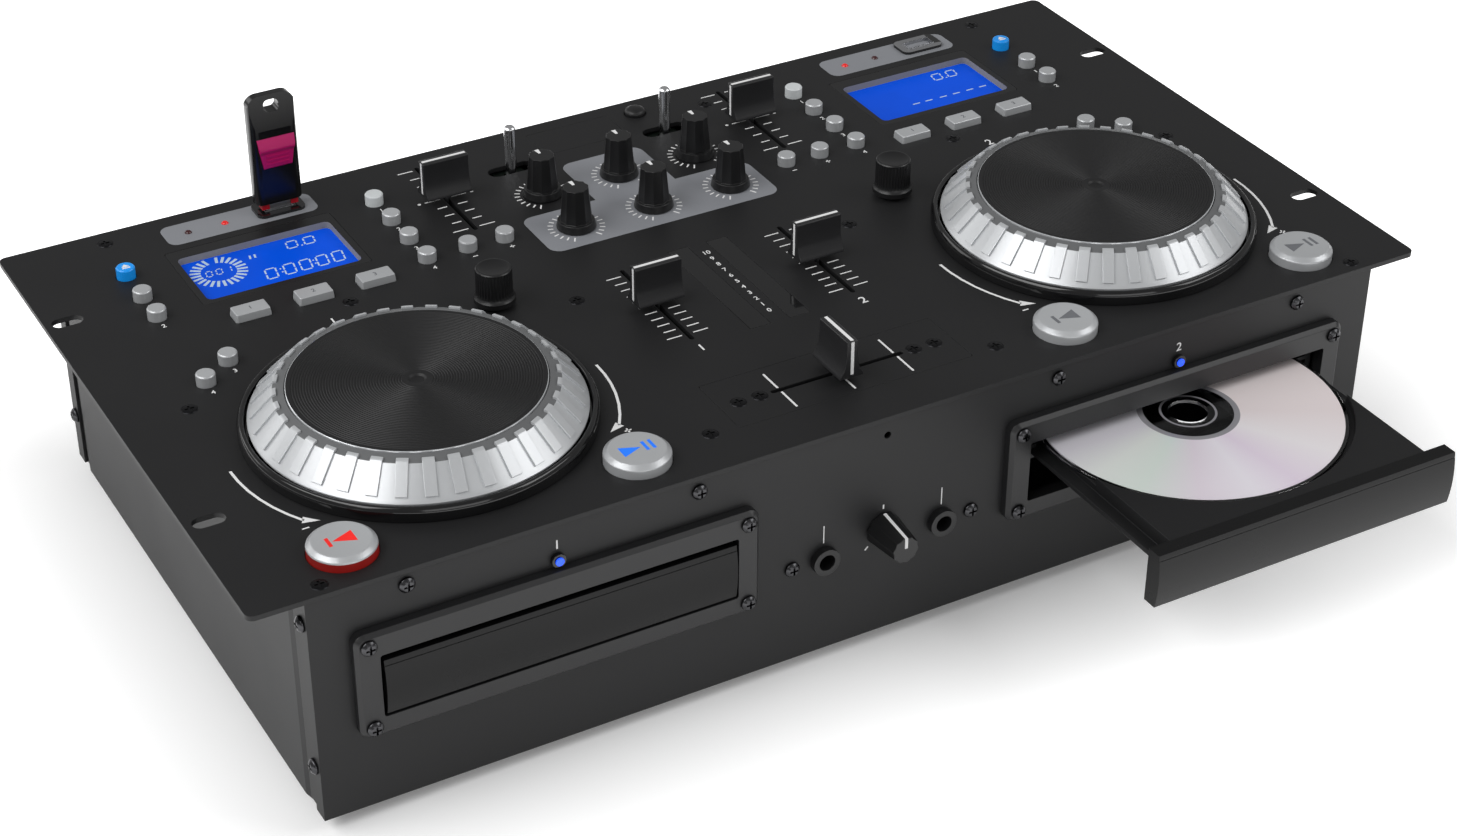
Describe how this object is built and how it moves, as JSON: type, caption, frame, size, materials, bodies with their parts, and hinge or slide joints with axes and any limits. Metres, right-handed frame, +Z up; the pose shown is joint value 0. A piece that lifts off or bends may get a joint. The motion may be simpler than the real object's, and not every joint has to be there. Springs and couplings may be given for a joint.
{
  "type": "dual disc player console",
  "caption": "Rack-width black disc player console with two sliding disc trays, ribbed jog wheels, blue displays and a fader and knob mixer between them.",
  "frame": {"origin": "centre of the four rack slots on the top plate's upper face", "axes": "+Z up out of the top plate, +X to the user's right, -Y towards the user"},
  "size_m": [0.4826, 0.3477, 0.1525],
  "materials": {
    "black_powder_coat": "fine textured black powder coat on folded steel",
    "black_plastic": "moulded black, satin",
    "gloss_black": "moulded black, glossy",
    "silver_plastic": "silver lacquered plastic",
    "blue_plastic": "blue moulded, glossy",
    "chrome": "bright plated",
    "zinc_steel": "zinc plated sheet",
    "display_glass": "blue lit display behind a clear window",
    "led_lens": "moulded lens",
    "disc_polycarbonate": "metallised recordable disc",
    "board": "printed board with components",
    "rubber": "moulded rubber",
    "stick_black": "moulded black with a pink slider"
  },
  "bodies": {
    "case": {"top_plate": "black_powder_coat", "inset_plates": "black_powder_coat", "front_panel": "black_powder_coat", "chassis": "black_powder_coat", "rear_panel": "black_powder_coat", "feet": "rubber", "screws": "zinc_steel", "drive_bezels": "black_plastic", "loader_frames": "black_plastic", "jog_bases": "gloss_black", "display_and_meter_windows": "display_glass", "usb_sockets": "zinc_steel", "usb_stick": "stick_black", "indicator_leds": "led_lens", "sockets": "black_plastic", "control_board": "board", "power_supply": "board"},
    "jog_a": {"jog_skirt_a": "silver_plastic", "jog_top_a": "black_plastic"},
    "jog_b": {"jog_skirt_b": "silver_plastic", "jog_top_b": "black_plastic"},
    "drawer_a": {"tray_a": "black_plastic", "fascia_a": "gloss_black"},
    "drawer_b": {"tray_b": "black_plastic", "fascia_b": "gloss_black", "disc_b": "disc_polycarbonate"},
    "cue_a": {"cue_button_a": "silver_plastic"},
    "play_a": {"play_button_a": "silver_plastic"},
    "eject_a": {"eject_button_a": "blue_plastic"},
    "loop_bank_a": {"loop_keys_a": "silver_plastic"},
    "source_and_jog_bank_a": {"source_and_jog_keys_a": "silver_plastic"},
    "mode_bank_a": {"mode_keys_a": "silver_plastic"},
    "pitch_bend_bank_a": {"pitch_bend_keys_a": "silver_plastic"},
    "cue_b": {"cue_button_b": "silver_plastic"},
    "play_b": {"play_button_b": "silver_plastic"},
    "eject_b": {"eject_button_b": "blue_plastic"},
    "loop_bank_b": {"loop_keys_b": "silver_plastic"},
    "source_and_jog_bank_b": {"source_and_jog_keys_b": "silver_plastic"},
    "mode_bank_b": {"mode_keys_b": "silver_plastic"},
    "pitch_bend_bank_b": {"pitch_bend_keys_b": "silver_plastic"},
    "dome": {"dome_button": "black_plastic"},
    "encoder_push_a": {"encoder_shaft_a": "zinc_steel"},
    "encoder_a": {"encoder_knob_a": "black_plastic"},
    "encoder_push_b": {"encoder_shaft_b": "zinc_steel"},
    "encoder_b": {"encoder_knob_b": "black_plastic"},
    "pitch_a": {"pitch_fader_a": "gloss_black"},
    "pitch_b": {"pitch_fader_b": "gloss_black"},
    "channel_1": {"channel_fader_1": "gloss_black"},
    "channel_2": {"channel_fader_2": "gloss_black"},
    "cross": {"crossfader": "gloss_black"},
    "knob_1": {"mixer_knob_1": "black_plastic"},
    "knob_2": {"mixer_knob_2": "black_plastic"},
    "knob_3": {"mixer_knob_3": "black_plastic"},
    "knob_4": {"mixer_knob_4": "black_plastic"},
    "knob_5": {"mixer_knob_5": "black_plastic"},
    "knob_6": {"mixer_knob_6": "black_plastic"},
    "cue_level": {"cue_level_knob": "black_plastic"},
    "toggle_a": {"toggle_lever_a": "chrome"},
    "toggle_b": {"toggle_lever_b": "chrome"},
    "rocker": {"power_rocker": "black_plastic"}
  },
  "joints": [
    {"name": "jog_a_spin", "type": "hinge", "parent": "case", "child": "jog_a", "pos_m": [-0.145, -0.0505, 0], "axis": [0, 0, 1], "continuous": true},
    {"name": "jog_b_spin", "type": "hinge", "parent": "case", "child": "jog_b", "pos_m": [0.145, -0.0505, 0], "axis": [0, 0, 1], "continuous": true},
    {"name": "tray_a_slide", "type": "slide", "parent": "case", "child": "drawer_a", "axis": [0, -1, 0], "range_m": [0, 0.128]},
    {"name": "tray_b_slide", "type": "slide", "parent": "case", "child": "drawer_b", "axis": [0, -1, 0], "range_m": [-0.0775, 0.0505]},
    {"name": "cue_a_press", "type": "slide", "parent": "case", "child": "cue_a", "axis": [0, 0, -1], "range_m": [0, 0.001], "stiffness_N_per_m": 800, "springref_m": -0.0005},
    {"name": "play_a_press", "type": "slide", "parent": "case", "child": "play_a", "axis": [0, 0, -1], "range_m": [0, 0.001], "stiffness_N_per_m": 800, "springref_m": -0.0005},
    {"name": "eject_a_press", "type": "slide", "parent": "case", "child": "eject_a", "axis": [0, 0, -1], "range_m": [0, 0.001], "stiffness_N_per_m": 800, "springref_m": -0.0005},
    {"name": "loop_keys_a_press", "type": "slide", "parent": "case", "child": "loop_bank_a", "axis": [0, 0, -1], "range_m": [0, 0.001], "stiffness_N_per_m": 800, "springref_m": -0.0005},
    {"name": "source_and_jog_keys_a_press", "type": "slide", "parent": "case", "child": "source_and_jog_bank_a", "axis": [0, 0, -1], "range_m": [0, 0.001], "stiffness_N_per_m": 800, "springref_m": -0.0005},
    {"name": "mode_keys_a_press", "type": "slide", "parent": "case", "child": "mode_bank_a", "axis": [0, 0, -1], "range_m": [0, 0.001], "stiffness_N_per_m": 800, "springref_m": -0.0005},
    {"name": "pitch_bend_keys_a_press", "type": "slide", "parent": "case", "child": "pitch_bend_bank_a", "axis": [0, 0, -1], "range_m": [0, 0.001], "stiffness_N_per_m": 800, "springref_m": -0.0005},
    {"name": "cue_b_press", "type": "slide", "parent": "case", "child": "cue_b", "axis": [0, 0, -1], "range_m": [0, 0.001], "stiffness_N_per_m": 800, "springref_m": -0.0005},
    {"name": "play_b_press", "type": "slide", "parent": "case", "child": "play_b", "axis": [0, 0, -1], "range_m": [0, 0.001], "stiffness_N_per_m": 800, "springref_m": -0.0005},
    {"name": "eject_b_press", "type": "slide", "parent": "case", "child": "eject_b", "axis": [0, 0, -1], "range_m": [0, 0.001], "stiffness_N_per_m": 800, "springref_m": -0.0005},
    {"name": "loop_keys_b_press", "type": "slide", "parent": "case", "child": "loop_bank_b", "axis": [0, 0, -1], "range_m": [0, 0.001], "stiffness_N_per_m": 800, "springref_m": -0.0005},
    {"name": "source_and_jog_keys_b_press", "type": "slide", "parent": "case", "child": "source_and_jog_bank_b", "axis": [0, 0, -1], "range_m": [0, 0.001], "stiffness_N_per_m": 800, "springref_m": -0.0005},
    {"name": "mode_keys_b_press", "type": "slide", "parent": "case", "child": "mode_bank_b", "axis": [0, 0, -1], "range_m": [0, 0.001], "stiffness_N_per_m": 800, "springref_m": -0.0005},
    {"name": "pitch_bend_keys_b_press", "type": "slide", "parent": "case", "child": "pitch_bend_bank_b", "axis": [0, 0, -1], "range_m": [0, 0.001], "stiffness_N_per_m": 800, "springref_m": -0.0005},
    {"name": "dome_button_press", "type": "slide", "parent": "case", "child": "dome", "axis": [0, 0, -1], "range_m": [0, 0.001], "stiffness_N_per_m": 800, "springref_m": -0.0005},
    {"name": "encoder_a_press", "type": "slide", "parent": "case", "child": "encoder_push_a", "axis": [0, 0, -1], "range_m": [0, 0.001], "stiffness_N_per_m": 800, "springref_m": -0.0005},
    {"name": "encoder_a_turn", "type": "hinge", "parent": "encoder_push_a", "child": "encoder_a", "pos_m": [-0.088, 0.0074, 0.008], "axis": [0, 0, 1], "continuous": true},
    {"name": "encoder_b_press", "type": "slide", "parent": "case", "child": "encoder_push_b", "axis": [0, 0, -1], "range_m": [0, 0.001], "stiffness_N_per_m": 800, "springref_m": -0.0005},
    {"name": "encoder_b_turn", "type": "hinge", "parent": "encoder_push_b", "child": "encoder_b", "pos_m": [0.088, 0.0074, 0.008], "axis": [0, 0, 1], "continuous": true},
    {"name": "pitch_fader_a_slide", "type": "slide", "parent": "case", "child": "pitch_a", "axis": [0, 1, 0], "range_m": [-0.02675, 0.02675]},
    {"name": "pitch_fader_b_slide", "type": "slide", "parent": "case", "child": "pitch_b", "axis": [0, 1, 0], "range_m": [-0.02675, 0.02675]},
    {"name": "channel_fader_1_slide", "type": "slide", "parent": "case", "child": "channel_1", "axis": [0, 1, 0], "range_m": [-0.0243, 0.0243]},
    {"name": "channel_fader_2_slide", "type": "slide", "parent": "case", "child": "channel_2", "axis": [0, 1, 0], "range_m": [-0.0243, 0.0243]},
    {"name": "crossfader_slide", "type": "slide", "parent": "case", "child": "cross", "axis": [1, 0, 0], "range_m": [-0.0244, 0.0244]},
    {"name": "mixer_knob_1_turn", "type": "hinge", "parent": "case", "child": "knob_1", "pos_m": [-0.0347, 0.045, 0.005], "axis": [0, 0, -1], "range_deg": [-150, 150]},
    {"name": "mixer_knob_2_turn", "type": "hinge", "parent": "case", "child": "knob_2", "pos_m": [-0.0002, 0.045, 0.005], "axis": [0, 0, -1], "range_deg": [-150, 150]},
    {"name": "mixer_knob_3_turn", "type": "hinge", "parent": "case", "child": "knob_3", "pos_m": [0.0348, 0.045, 0.005], "axis": [0, 0, -1], "range_deg": [-150, 150]},
    {"name": "mixer_knob_4_turn", "type": "hinge", "parent": "case", "child": "knob_4", "pos_m": [-0.0347, 0.0748, 0.005], "axis": [0, 0, -1], "range_deg": [-150, 150]},
    {"name": "mixer_knob_5_turn", "type": "hinge", "parent": "case", "child": "knob_5", "pos_m": [-0.0002, 0.0748, 0.005], "axis": [0, 0, -1], "range_deg": [-150, 150]},
    {"name": "mixer_knob_6_turn", "type": "hinge", "parent": "case", "child": "knob_6", "pos_m": [0.0348, 0.0748, 0.005], "axis": [0, 0, -1], "range_deg": [-150, 150]},
    {"name": "cue_level_knob_turn", "type": "hinge", "parent": "case", "child": "cue_level", "pos_m": [0.0009, -0.13, -0.0495], "axis": [0, 1, 0], "range_deg": [-150, 150]},
    {"name": "toggle_a_rock", "type": "hinge", "parent": "case", "child": "toggle_a", "pos_m": [-0.0366, 0.1, -0.006], "axis": [0, 1, 0], "range_deg": [-12, 12]},
    {"name": "toggle_b_rock", "type": "hinge", "parent": "case", "child": "toggle_b", "pos_m": [0.0343, 0.1, -0.006], "axis": [0, 1, 0], "range_deg": [-12, 12]},
    {"name": "power_rocker_rock", "type": "hinge", "parent": "case", "child": "rocker", "pos_m": [0.125, 0.124, -0.062], "axis": [1, 0, 0], "range_deg": [0, 16]}
  ]
}
